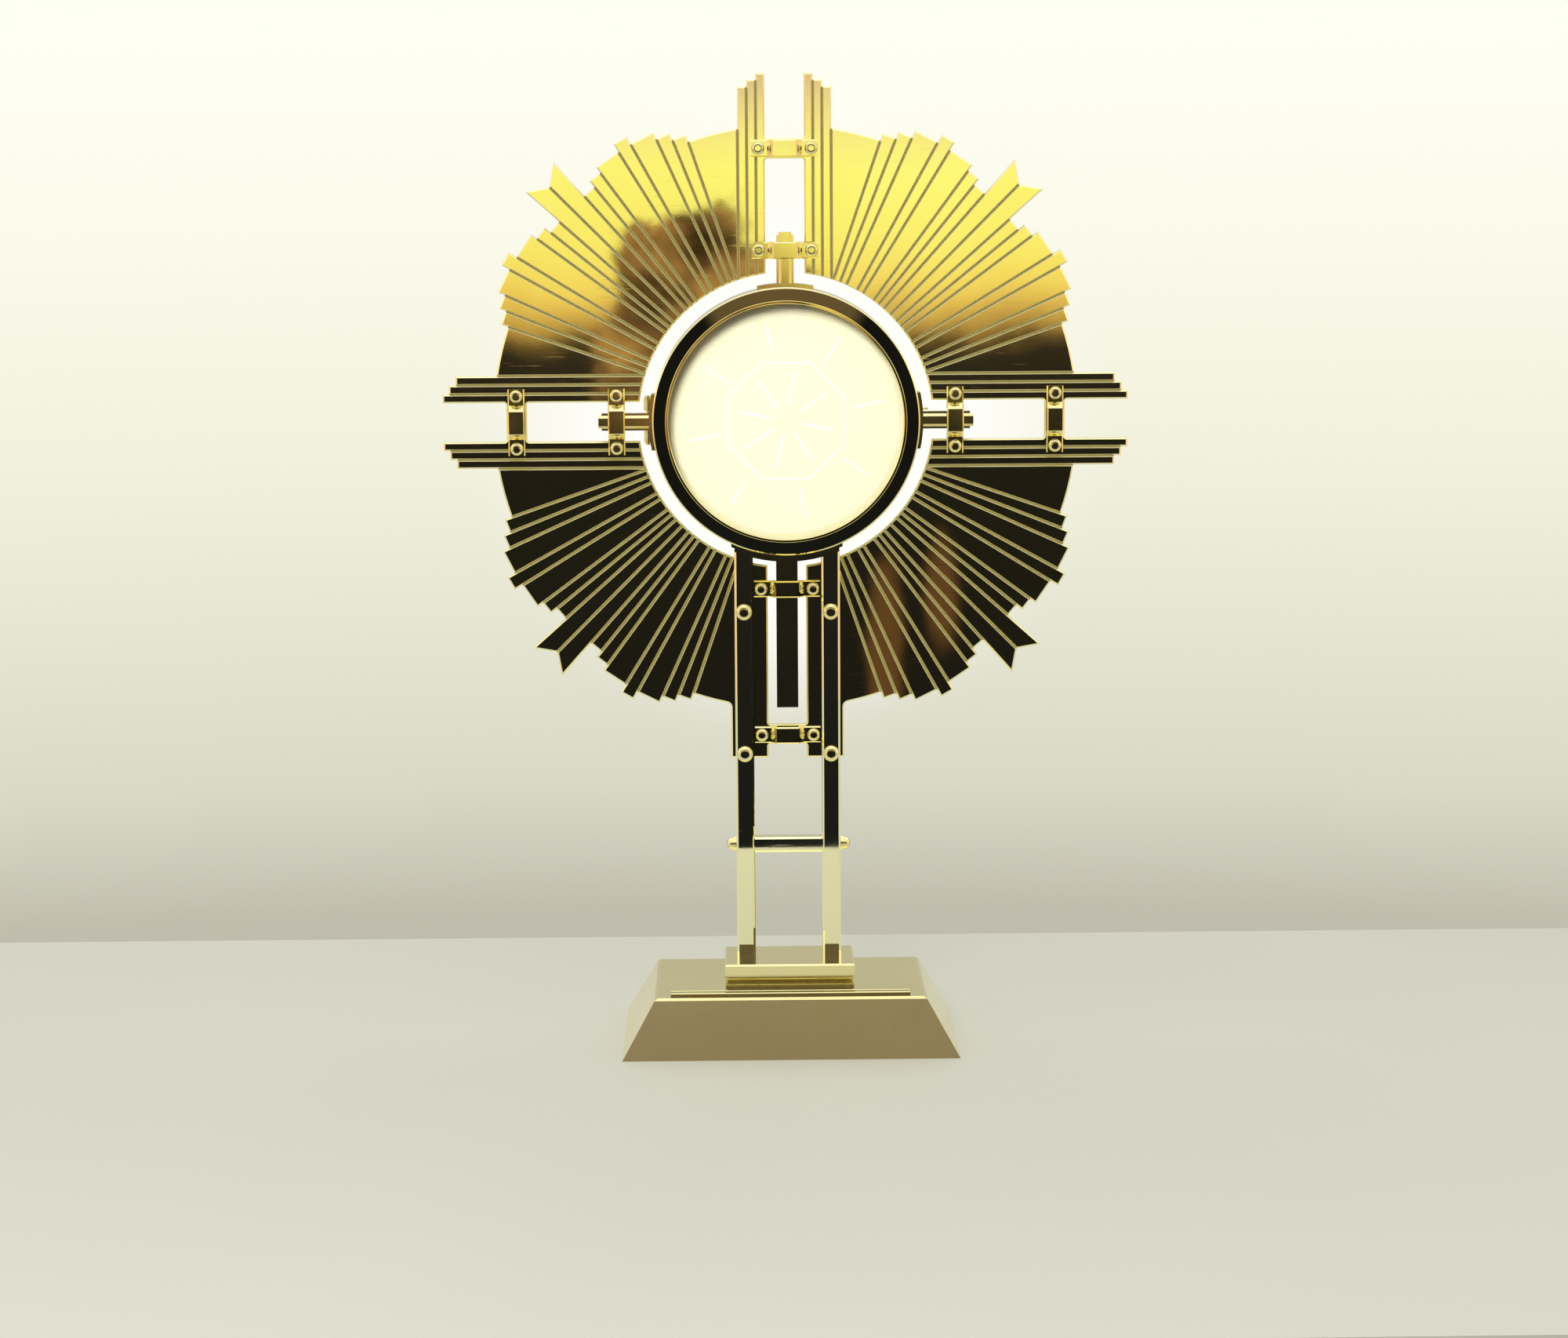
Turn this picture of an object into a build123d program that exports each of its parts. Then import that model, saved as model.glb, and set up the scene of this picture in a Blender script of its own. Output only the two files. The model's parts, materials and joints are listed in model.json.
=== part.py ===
"""Free-standing altar monstrance with a sunburst glory, twin posts and a hinged rear door.

The front faces -Y, +Z is up, and the origin is the centre of the base on the table.
Lengths are millimetres and angles are degrees.
"""
import os
from math import cos, radians, sin, sqrt

from build123d import *

os.makedirs("parts", exist_ok=True)

# ---- driving dimensions --------------------------------------------------------------------
total_height = 600.0
arm_reach = 212.5
center_z = total_height - arm_reach

# base
base_width, base_depth = 208.6, 128.4
top_width, top_depth = 167.0, 101.8
base_height, base_wall = 36.0, 3.0
top_edge_bevel = 1.4
felt_thickness, floor_thickness = 1.5, 2.0
felt_margin, floor_play = 5.0, 0.2
boss_pitch, boss_radius = (150.0, 82.0), 4.0
floor_screw_radius, floor_screw_length = 1.6, 10.0
floor_head_radius, floor_head_depth = 3.2, 1.2

# plinth and trim bars
plinth_width, plinth_depth = 81.4, 49.2
plinth_top, slab_thickness, slab_bevel = 50.4, 7.8, 1.1
foot_height, foot_inset, step_inset = 2.4, 0.6, 1.6
trim_length, trim_depth, trim_height, trim_bevel = 148.6, 3.4, 1.8, 0.4
trim_centers = (37.6, 43.4)

# glory plate
plate_front, plate_thickness = 13.5, 3.0
disc_radius, hole_radius = 181.3, 91.5
edge_bevel, groove_lift = 1.0, 0.2
gap_half = 12.1
strip_edges = (17.5, 23.1, 28.7)
strip_reaches = (arm_reach, arm_reach - 4.0, arm_reach - 8.2)
lower_arm_half = 35.6
web_half, web_fillet, shoulder_fillet = 6.3, 1.6, 3.0

# rays of half a quadrant, from its diagonal outwards: far edge and reach of each ray
tail_edge, tail_reach, notch_reach = 3.4, 213.2, 204.0
ray_edges = (6.0, 8.5, 13.4, 16.0, 20.6, 23.3, 26.0)
ray_reaches = (185.5, 190.0, 194.0, 199.6, 194.3, 190.0, 185.6)

# brackets; distances are from the glory's centre along an arm
right, top, left, bottom = 0, 90, 180, 270
inner_bracket, outer_bracket, lowest_bracket = 105.0, 167.0, 197.6
bracket_half, bracket_width, bracket_bevel = 20.6, 10.4, 0.8
pad_height, bridge_height = 2.2, 5.8
bridge_half, bridge_foot = 6.9, 10.6
channel_half, channel_height = 6.8, 4.0
bracket_screw_x, bracket_head, bracket_shank = 16.3, 4.0, 1.65

# posts and crossbar
post_width, post_depth, post_bevel, post_headroom = 11.6, 11.0, 1.3, 8.0
post_x = 27.05
post_screw_heights = (269.3, 179.5)
post_head, post_shank, post_nut, post_nut_height = 5.0, 2.0, 4.2, 3.4
crossbar_z, crossbar_size, crossbar_bevel = 120.9, 9.6, 1.2
tie_rod_radius, tie_rod_reach = 2.0, 37.4
nut_collar, nut_collar_height, nut_dome, nut_dome_height = 4.4, 1.7, 3.6, 4.2
nut_crown = 2.6
stud_radius, stud_bottom, stud_top = 2.5, 24.0, 66.0
stud_nut, stud_nut_height = 4.8, 4.0

# capsule; depths run back from the front of the bezel
capsule_radius, capsule_bore, window_radius = 82.8, 79.0, 72.8
glass_radius, rebate_depth, glass_thickness, seal_thickness = 77.7, 4.0, 2.0, 1.0
body_front, spigot_rear, body_rear = 5.0, 9.0, 24.0
seal_bore, retainer_bore = 74.4, 73.8
bezel_bevel, bezel_lip, bezel_lip_slope, bezel_lip_depth = 0.4, 1.6, 0.3, 0.5
bezel_rim_depth, bezel_rim_bevel = 1.2, 0.9
saddle_thickness, saddle_front, saddle_rear = 2.2, 7.0, 19.4
saddle_half_chord = 17.4
lower_layer, lower_half_chord = 2.0, 34.6

# domed screws; every share is of the head's radius
crown_share, skirt_share, dome_share = 0.45, 0.2, 0.72
bulge_radius_share, bulge_height_share = 0.87, 0.533

# support pins and bar
pin_width, pin_ridge_base, pin_ridge_top = 10.6, 8.0, 4.8
pin_reach, pin_lead, pin_ledge = 114.2, 2.0, 2.4
bar_width, bar_reach, bar_sink = 13.4, 179.8, 1.0

# rear door, hinge and latch
door_gap, door_thickness, door_bevel = 0.4, 4.4, 0.8
door_opening, door_glass_radius, door_lip, door_ring_bore = 70.0, 76.0, 1.5, 73.0
hinge_x, barrel_radius, hinge_pin_radius = -85.7, 2.6, 1.2
fixed_barrel, moving_barrel = (6.0, 9.9), (10.2, 14.1)
lug_inner_x, lug_front = -80.0, 20.2
pin_head_radius, pin_head_start, pin_head_end = 1.8, 14.4, 15.2
latch_rise, latch_y, latch_x, latch_thickness = 6.0, 22.0, 83.2, 1.2
latch_arm, latch_length, latch_back, latch_front = 4.8, 7.4, -2.2, 1.7
notch_near, notch_far, notch_depth, latch_tip = 3.6, 6.0, -1.05, 0.8
latch_eye, latch_pivot_radius, latch_head, pivot_recess = 2.2, 1.0, 1.7, 1.5
keeper_radius, keeper_reach, keeper_ball = 0.7, 88.2, 1.0

# lunette that holds the host
luna_radius, luna_front, luna_depth = 78.4, 9.5, 9.0
luna_window, luna_bore, luna_lip, luna_clip_bore = 73.4, 76.6, 1.2, 74.0
luna_glass_thickness, clip_depth = 1.4, 2.0
host_radius, host_thickness = 75.0, 1.2

fit = 0.05
play = 0.3
overrun = 2.0

# ---- shared places and helpers -------------------------------------------------------------
plate_rear = plate_front + plate_thickness
post_front = plate_front - post_depth
post_y = plate_front - post_depth / 2
slab_bottom = plinth_top - slab_thickness
floor_top = felt_thickness + floor_thickness
door_front = body_rear + door_gap
door_rear = door_front + door_thickness
hinge_y = body_rear + door_gap / 2
saddle_radius = capsule_radius + saddle_thickness
lower_saddle_radius = capsule_radius + 2 * lower_layer
inner_face = post_x - post_width / 2
outer_face = post_x + post_width / 2
capsule_axis = Axis((0, 0, center_z), (0, 1, 0))
strip_arms = (right, top, left)
brackets = {
    "top": (top, inner_bracket, outer_bracket),
    "left": (left, inner_bracket, outer_bracket),
    "right": (right, inner_bracket, outer_bracket),
    "bottom": (bottom, inner_bracket, lowest_bracket),
}


def save(builder, label):
    builder.part.label = label
    export_step(builder.part, f"parts/{label}.step")


def front_plane(depth):
    """Plane facing the viewer at a depth, with the glory's centre as its origin."""
    return Plane(origin=(0, depth, center_z), x_dir=(1, 0, 0), z_dir=(0, -1, 0))


def section_plane():
    """Plane for turned outlines: local x is the radius and local y is the depth."""
    return Plane(origin=(0, 0, center_z), x_dir=(1, 0, 0), z_dir=(0, 0, 1))


def directions(angle):
    """Unit vectors along and across a line at an angle in the glory's plane."""
    along = Vector(cos(radians(angle)), 0, sin(radians(angle)))
    across = Vector(sin(radians(angle)), 0, -cos(radians(angle)))
    return along, across


def arm_plane(angle, distance, lift=0.0, offset=0.0):
    """Plane on the plate's front, raised by lift, with x across the arm and y outwards."""
    along, across = directions(angle)
    origin = Vector(0, plate_front - lift, center_z) + along * distance + across * offset
    return Plane(origin=origin, x_dir=across, z_dir=(0, -1, 0))


def profile_plane(angle, distance):
    """Plane square to an arm: x runs across the arm and y towards the viewer."""
    along, across = directions(angle)
    origin = Vector(0, plate_front, center_z) + along * distance
    return Plane(origin=origin, x_dir=across, z_dir=along * -1)


def polar(radius, angle):
    return (radius * cos(radians(angle)), radius * sin(radians(angle)))


def turned(label, outline):
    """Body of revolution about the capsule's axis from (radius, depth) points."""
    with BuildPart() as body:
        with BuildSketch(section_plane()):
            with BuildLine():
                Polyline(*outline, close=True)
            make_face()
        revolve(axis=capsule_axis)
    save(body, label)


def turned_ring(label, inner, outer, front, rear):
    turned(label, [(inner, front), (outer, front), (outer, rear), (inner, rear)])


def disc(label, radius, front, thickness):
    with BuildPart() as body:
        with BuildSketch(front_plane(front)):
            Circle(radius)
        extrude(amount=-thickness)
    save(body, label)


def screw(plane, head, shank, length):
    """Domed screw with a small flat crown, its head standing on the plane."""
    crown, skirt, height = crown_share * head, skirt_share * head, dome_share * head
    bulge = (bulge_radius_share * head, bulge_height_share * head)
    turning = Plane(origin=plane.origin, x_dir=plane.x_dir, z_dir=-plane.y_dir)
    with BuildPart() as body:
        with BuildSketch(turning):
            with BuildLine():
                Polyline((crown, height), (0, height), (0, -length), (shank, -length),
                         (shank, 0), (head, 0), (head, skirt))
                ThreePointArc((head, skirt), bulge, (crown, height))
            make_face()
        revolve(axis=Axis(plane.origin, plane.z_dir))
    return body.part


def hex_nut(plane, radius, bore, height):
    with BuildPart() as nut:
        with BuildSketch(plane):
            RegularPolygon(radius, 6)
            Circle(bore, mode=Mode.SUBTRACT)
        extrude(amount=height)
    return nut.part


# ---- base ----------------------------------------------------------------------------------
def base_section(height, inset):
    """Horizontal section of the base's taper at a height, drawn in by an inset."""
    share = height / base_height
    width = base_width + (top_width - base_width) * share - 2 * inset
    depth = base_depth + (top_depth - base_depth) * share - 2 * inset
    with BuildSketch(Plane.XY.offset(height)) as section:
        Rectangle(width, depth)
    return section.sketch


roof = base_height - base_wall
outer_taper = [base_section(0, 0), base_section(base_height, 0)]
inner_taper = [base_section(0, base_wall), base_section(roof, base_wall)]
floor_inset = base_wall + floor_play
floor_taper = [base_section(felt_thickness, floor_inset), base_section(floor_top, floor_inset)]
stud_places = [(-post_x, post_y), (post_x, post_y)]

with BuildPart() as base_shell:
    loft(outer_taper)
    chamfer(base_shell.faces().sort_by(Axis.Z)[-1].edges(), top_edge_bevel)
    loft(inner_taper, mode=Mode.SUBTRACT)
    with BuildSketch(Plane.XY.offset(floor_top)):
        with GridLocations(*boss_pitch, 2, 2):
            Circle(boss_radius)
            Circle(floor_screw_radius, mode=Mode.SUBTRACT)
    extrude(amount=roof - floor_top)
    with BuildSketch(Plane.XY.offset(roof)):
        with Locations(*stud_places):
            Circle(stud_radius)
    extrude(amount=base_wall, mode=Mode.SUBTRACT)
save(base_shell, "base_shell")

with BuildPart() as base_floor:
    loft(floor_taper)
    with BuildSketch(Plane.XY.offset(felt_thickness)):
        with GridLocations(*boss_pitch, 2, 2):
            Circle(floor_screw_radius)
    extrude(amount=floor_thickness, mode=Mode.SUBTRACT)
    with BuildSketch(Plane.XY.offset(felt_thickness)):
        with GridLocations(*boss_pitch, 2, 2):
            Circle(floor_head_radius)
    extrude(amount=floor_head_depth, mode=Mode.SUBTRACT)
save(base_floor, "base_floor")

with BuildPart() as base_floor_screws:
    with BuildSketch(Plane.XY.offset(felt_thickness)):
        with GridLocations(*boss_pitch, 2, 2):
            Circle(floor_head_radius)
    extrude(amount=floor_head_depth)
    with BuildSketch(Plane.XY.offset(felt_thickness)):
        with GridLocations(*boss_pitch, 2, 2):
            Circle(floor_screw_radius)
    extrude(amount=floor_screw_length)
save(base_floor_screws, "base_floor_screws")

with BuildPart() as base_felt:
    with BuildSketch():
        Rectangle(base_width - 2 * felt_margin, base_depth - 2 * felt_margin)
    extrude(amount=felt_thickness)
save(base_felt, "base_felt")

with BuildPart() as trim_bars:
    with BuildSketch(Plane.XY.offset(base_height)):
        with Locations(*[(0, -y) for y in trim_centers]):
            Rectangle(trim_length, trim_depth)
    extrude(amount=trim_height)
    chamfer(trim_bars.edges().group_by(Axis.Z)[-1], trim_bevel)
save(trim_bars, "trim_bars")

# ---- plinth --------------------------------------------------------------------------------
with BuildPart() as plinth_step:
    with BuildSketch(Plane.XY.offset(base_height)):
        Rectangle(plinth_width - 2 * foot_inset, plinth_depth - 2 * foot_inset)
    extrude(amount=foot_height)
    with BuildSketch(Plane.XY.offset(base_height + foot_height)):
        Rectangle(plinth_width - 2 * step_inset, plinth_depth - 2 * step_inset)
    extrude(amount=slab_bottom - base_height - foot_height)
    with BuildSketch(Plane.XY.offset(base_height)):
        with Locations(*stud_places):
            Circle(stud_radius)
    extrude(amount=slab_bottom - base_height, mode=Mode.SUBTRACT)
save(plinth_step, "plinth_step")

with BuildPart() as plinth_slab:
    with BuildSketch(Plane.XY.offset(slab_bottom)):
        Rectangle(plinth_width, plinth_depth)
    extrude(amount=slab_thickness)
    chamfer(plinth_slab.edges().group_by(Axis.Z)[-1], slab_bevel)
    with BuildSketch(Plane.XY.offset(slab_bottom)):
        with Locations(*stud_places):
            Circle(stud_radius)
    extrude(amount=slab_thickness, mode=Mode.SUBTRACT)
save(plinth_slab, "plinth_slab")

with BuildPart() as post_studs:
    with BuildSketch(Plane.XY.offset(stud_bottom)):
        with Locations(*stud_places):
            Circle(stud_radius)
    extrude(amount=stud_top - stud_bottom)
save(post_studs, "post_studs")

under_roof = [Plane(origin=(x, post_y, roof), z_dir=(0, 0, -1)) for x in (-post_x, post_x)]
stud_nuts = [hex_nut(plane, stud_nut, stud_radius, stud_nut_height) for plane in under_roof]
with BuildPart() as post_stud_nuts:
    add(stud_nuts)
save(post_stud_nuts, "post_stud_nuts")

# ---- posts and crossbar --------------------------------------------------------------------
post_length = center_z - lower_saddle_radius + post_headroom - plinth_top

for label, x in (("post_left", -post_x), ("post_right", post_x)):
    with BuildPart() as post:
        with BuildSketch(Plane.XY.offset(plinth_top)):
            with Locations((x, post_y)):
                Rectangle(post_width, post_depth)
        extrude(amount=post_length)
        chamfer(post.edges().filter_by(Axis.Z), post_bevel)
        with BuildSketch(front_plane(plate_rear)):
            Circle(lower_saddle_radius)
        extrude(amount=plate_rear, mode=Mode.SUBTRACT)
        with BuildSketch(Plane.XY.offset(plinth_top)):
            with Locations((x, post_y)):
                Circle(stud_radius)
        extrude(amount=stud_top - plinth_top, mode=Mode.SUBTRACT)
        with BuildSketch(Plane(origin=(x, post_y, crossbar_z), z_dir=(1, 0, 0))):
            Circle(tie_rod_radius)
        extrude(amount=post_width, both=True, mode=Mode.SUBTRACT)
        with BuildSketch(front_plane(plate_front)):
            with Locations(*[(x, z - center_z) for z in post_screw_heights]):
                Circle(post_shank)
        extrude(amount=post_depth, mode=Mode.SUBTRACT)
    save(post, label)

with BuildPart() as crossbar:
    with BuildSketch(Plane(origin=(-inner_face, post_y, crossbar_z), z_dir=(1, 0, 0))):
        Rectangle(crossbar_size, crossbar_size)
    extrude(amount=2 * inner_face)
    chamfer(crossbar.edges().filter_by(Axis.X), crossbar_bevel)
    with BuildSketch(Plane(origin=(-inner_face, post_y, crossbar_z), z_dir=(1, 0, 0))):
        Circle(tie_rod_radius)
    extrude(amount=2 * inner_face, mode=Mode.SUBTRACT)
save(crossbar, "crossbar")

with BuildPart() as tie_rod:
    with BuildSketch(Plane(origin=(-tie_rod_reach, post_y, crossbar_z), z_dir=(1, 0, 0))):
        Circle(tie_rod_radius)
    extrude(amount=2 * tie_rod_reach)
save(tie_rod, "tie_rod")

with BuildPart() as tie_rod_nuts:
    for side in (-1, 1):
        with BuildSketch(Plane(origin=(side * outer_face, post_y, crossbar_z), z_dir=(side, 0, 0))):
            Circle(nut_collar)
        extrude(amount=nut_collar_height)
        with BuildSketch(Plane(origin=(side * outer_face, post_y, crossbar_z), z_dir=(side, 0, 0))):
            Circle(nut_dome)
        extrude(amount=nut_collar_height + nut_dome_height)
    tips = tie_rod_nuts.edges().filter_by(GeomType.CIRCLE).sort_by(Axis.X)
    fillet([tips[0], tips[-1]], nut_crown)
    with BuildSketch(Plane(origin=(-tie_rod_reach, post_y, crossbar_z), z_dir=(1, 0, 0))):
        Circle(tie_rod_radius)
    extrude(amount=2 * tie_rod_reach, mode=Mode.SUBTRACT)
save(tie_rod_nuts, "tie_rod_nuts")

post_screw_places = [(x, z) for x in (-post_x, post_x) for z in post_screw_heights]
screw_length = plate_rear + post_nut_height - post_front
screw_seats = [
    Plane(origin=(x, post_front, z), x_dir=(1, 0, 0), z_dir=(0, -1, 0))
    for x, z in post_screw_places
]
nut_seats = [
    Plane(origin=(x, plate_rear, z), x_dir=(1, 0, 0), z_dir=(0, 1, 0))
    for x, z in post_screw_places
]
long_screws = [screw(seat, post_head, post_shank, screw_length) for seat in screw_seats]
rear_nuts = [hex_nut(seat, post_nut, post_shank, post_nut_height) for seat in nut_seats]

with BuildPart() as post_screws:
    add(long_screws)
save(post_screws, "post_screws")

with BuildPart() as post_nuts:
    add(rear_nuts)
save(post_nuts, "post_nuts")

# ---- glory plate ---------------------------------------------------------------------------
fan_half = [polar(tail_reach, tail_edge)]
for start, end, reach in zip((tail_edge, *ray_edges), ray_edges, ray_reaches):
    slant = reach / cos(radians((end - start) / 2))
    fan_half += [polar(slant, start), polar(slant, end)]
fan = [(notch_reach, 0), *fan_half, (0, 0), *[(x, -y) for x, y in reversed(fan_half)]]


def strip(inner, outer, half):
    """Corners of a rectangle on an arm's axis between two distances from the centre."""
    return [(inner, -half), (outer, -half), (outer, half), (inner, half)]


def turn(points, angle):
    """Points turned about the glory's centre."""
    return [Vector(*point).rotate(Axis.Z, angle) for point in points]


def groove(angle, offset, start, end):
    """V-shaped cutter along a line at an angle, set off sideways from the centre."""
    along, across = directions(angle)
    origin = Vector(0, plate_front, center_z) + along * start + across * offset
    wing = edge_bevel + groove_lift
    with BuildPart() as cutter:
        with BuildSketch(Plane(origin=origin, x_dir=across, z_dir=along * -1)):
            Polygon((-wing, groove_lift), (wing, groove_lift), (0, -edge_bevel), align=None)
        extrude(amount=start - end)
    return cutter.part


def glory_grooves():
    """Cutters between neighbouring rays and strips, each as long as the shorter one."""
    inside = hole_radius - overrun
    reaches = (tail_reach, *ray_reaches, disc_radius)
    cutters = []
    for diagonal in (45, 135, 225, 315):
        cutters.append(groove(diagonal, 0, inside, notch_reach + edge_bevel))
        for edge, near, far in zip((tail_edge, *ray_edges), reaches, reaches[1:]):
            for side in (-1, 1):
                cutters.append(groove(diagonal + side * edge, 0, inside, min(near, far)))
    rim = sqrt(disc_radius**2 - strip_edges[-1] ** 2)
    for arm in strip_arms:
        for edge, end in zip(strip_edges, (*strip_reaches[1:], rim)):
            for side in (-1, 1):
                cutters.append(groove(arm, side * edge, inside - 2 * overrun, end))
    return cutters


web_corners = []
for arm, _, web in brackets.values():
    inner_side, outer_side = web - web_half, web + web_half
    corners = [(u, v) for u in (inner_side, outer_side) for v in (-gap_half, gap_half)]
    web_corners += turn(corners, arm)
shoulder = sqrt(disc_radius**2 - lower_arm_half**2)
shoulders = turn([(shoulder, -lower_arm_half), (shoulder, lower_arm_half)], bottom)
screw_spots = []
for arm, near, far in brackets.values():
    spots = [(u, v) for u in (near, far) for v in (-bracket_screw_x, bracket_screw_x)]
    screw_spots += turn(spots, arm)
plate_grooves = glory_grooves()

with BuildPart() as glory_plate:
    with BuildSketch(front_plane(plate_rear)) as outline:
        Circle(disc_radius)
        with PolarLocations(0, 4, start_angle=45):
            Polygon(*fan, align=None)
        for arm in strip_arms:
            for edge, reach in zip(strip_edges, strip_reaches):
                Polygon(*turn(strip(0, reach, edge), arm), align=None)
        Polygon(*turn(strip(0, arm_reach, lower_arm_half), bottom), align=None)
        Circle(hole_radius, mode=Mode.SUBTRACT)
        for arm, _, web in brackets.values():
            inner_slot = strip(hole_radius / 2, web - web_half, gap_half)
            outer_slot = strip(web + web_half, arm_reach + overrun, gap_half)
            Polygon(*turn(inner_slot, arm), align=None, mode=Mode.SUBTRACT)
            Polygon(*turn(outer_slot, arm), align=None, mode=Mode.SUBTRACT)
        fillet([outline.vertices().sort_by_distance(spot)[0] for spot in web_corners], web_fillet)
        fillet([outline.vertices().sort_by_distance(spot)[0] for spot in shoulders],
               shoulder_fillet)
    extrude(amount=plate_thickness)
    chamfer(glory_plate.faces().sort_by(Axis.Y)[0].edges(), edge_bevel)
    add(plate_grooves, mode=Mode.SUBTRACT)
    with BuildSketch(front_plane(plate_rear)):
        with Locations(*screw_spots):
            Circle(bracket_shank)
        with Locations(*[(x, z - center_z) for x, z in post_screw_places]):
            Circle(post_shank)
    extrude(amount=plate_thickness, mode=Mode.SUBTRACT)
save(glory_plate, "glory_plate")

# ---- brackets, pins and saddles ------------------------------------------------------------
hat_half = [
    (channel_half, channel_height), (channel_half, 0), (bracket_half, 0),
    (bracket_half, pad_height), (bridge_foot, pad_height), (bridge_half, bridge_height),
]
hat = hat_half + [(-x, y) for x, y in reversed(hat_half)]


def is_outer_front(edge, plane):
    """True for the bracket edges that face the viewer, above the pads' feet."""
    middle = plane.to_local_coords(edge.center())
    in_channel = abs(middle.X) < channel_half + fit and middle.Y < channel_height + fit
    return middle.Y > pad_height - fit and not in_channel and abs(middle.Z) > fit


for name, (arm, near, far) in brackets.items():
    for suffix, distance in (("inner", near), ("outer", far)):
        middle = profile_plane(arm, distance)
        with BuildPart() as bracket:
            with BuildSketch(middle):
                Polygon(*hat, align=None)
            extrude(amount=bracket_width / 2, both=True)
            rims = [edge for edge in bracket.edges() if is_outer_front(edge, middle)]
            chamfer(rims, bracket_bevel)
            with BuildSketch(arm_plane(arm, distance)):
                with Locations((-bracket_screw_x, 0), (bracket_screw_x, 0)):
                    Circle(bracket_shank)
            extrude(amount=pad_height, mode=Mode.SUBTRACT)
        save(bracket, f"bracket_{name}_{suffix}")

    seats = [
        arm_plane(arm, distance, pad_height, offset)
        for distance in (near, far)
        for offset in (-bracket_screw_x, bracket_screw_x)
    ]
    short_length = pad_height + plate_thickness
    short_screws = [screw(seat, bracket_head, bracket_shank, short_length) for seat in seats]
    with BuildPart() as bracket_screws:
        add(short_screws)
    save(bracket_screws, f"bracket_screws_{name}")

for name, arm in (("top", top), ("left", left), ("right", right)):
    foot = profile_plane(arm, capsule_radius)
    with BuildPart() as support_pin:
        with BuildSketch(foot):
            half = pin_width / 2
            Polygon((-half, -plate_thickness), (half, -plate_thickness), (half, pin_ledge),
                    (-half, pin_ledge), align=None)
        extrude(amount=capsule_radius - pin_reach)
        with BuildSketch(foot):
            base_x, top_x = pin_ridge_base / 2, pin_ridge_top / 2
            Polygon((-base_x, pin_ledge), (base_x, pin_ledge), (top_x, channel_height),
                    (-top_x, channel_height), align=None)
        extrude(amount=capsule_radius - pin_reach - pin_lead)
        with BuildSketch(front_plane(plate_rear)):
            Circle(saddle_radius)
        extrude(amount=plate_rear, mode=Mode.SUBTRACT)
    save(support_pin, f"support_pin_{name}")

    with BuildPart() as saddle:
        with BuildSketch(front_plane(saddle_rear)):
            Circle(saddle_radius)
            Circle(capsule_radius, mode=Mode.SUBTRACT)
            sector = turn(strip(0, saddle_radius + overrun, saddle_half_chord), arm)
            Polygon(*sector, align=None, mode=Mode.INTERSECT)
        extrude(amount=saddle_rear - saddle_front)
    save(saddle, f"saddle_{name}")

for name, inner_radius, half_chord in (
    ("inner", capsule_radius, lower_half_chord),
    ("outer", capsule_radius + lower_layer, lower_half_chord - lower_layer),
):
    with BuildPart() as lower_saddle:
        with BuildSketch(front_plane(saddle_rear)):
            Circle(inner_radius + lower_layer)
            Circle(inner_radius, mode=Mode.SUBTRACT)
            sector = turn(strip(0, inner_radius + 2 * overrun, half_chord), bottom)
            Polygon(*sector, align=None, mode=Mode.INTERSECT)
        extrude(amount=saddle_rear - post_front)
    save(lower_saddle, f"saddle_bottom_{name}")

with BuildPart() as support_bar_bottom:
    with BuildSketch(profile_plane(bottom, capsule_radius)):
        with Locations((0, (channel_height - bar_sink) / 2)):
            Rectangle(bar_width, channel_height + bar_sink)
    extrude(amount=capsule_radius - bar_reach)
    with BuildSketch(front_plane(plate_rear)):
        Circle(lower_saddle_radius)
    extrude(amount=plate_rear, mode=Mode.SUBTRACT)
save(support_bar_bottom, "support_bar_bottom")

# ---- capsule -------------------------------------------------------------------------------
glass_rear = rebate_depth + glass_thickness
seal_rear = glass_rear + seal_thickness

lip_edge = window_radius + bezel_lip

turned("front_bezel", [
    (window_radius, bezel_bevel), (window_radius + bezel_bevel, 0), (lip_edge, 0),
    (lip_edge + bezel_lip_slope, bezel_lip_depth),
    (capsule_radius - bezel_rim_bevel, bezel_rim_depth),
    (capsule_radius, bezel_rim_depth + bezel_rim_bevel),
    (capsule_radius, body_front), (capsule_bore, body_front), (capsule_bore, spigot_rear),
    (glass_radius, spigot_rear), (glass_radius, rebate_depth), (window_radius, rebate_depth),
])
disc("front_glass", glass_radius, rebate_depth, glass_thickness)
turned_ring("glass_seal", seal_bore, glass_radius, glass_rear, seal_rear)
turned_ring("glass_retainer", retainer_bore, glass_radius, seal_rear, spigot_rear)

latch_z = center_z + latch_rise
pivot_inner = capsule_bore + pivot_recess
with BuildPart() as capsule_body:
    with BuildSketch(front_plane(body_rear)):
        Circle(capsule_radius)
        Circle(capsule_bore, mode=Mode.SUBTRACT)
    extrude(amount=body_rear - body_front)
    with BuildSketch(Plane(origin=(pivot_inner, latch_y, latch_z), z_dir=(1, 0, 0))):
        Circle(latch_pivot_radius)
    extrude(amount=latch_x - pivot_inner, mode=Mode.SUBTRACT)
save(capsule_body, "capsule_body")


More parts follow.
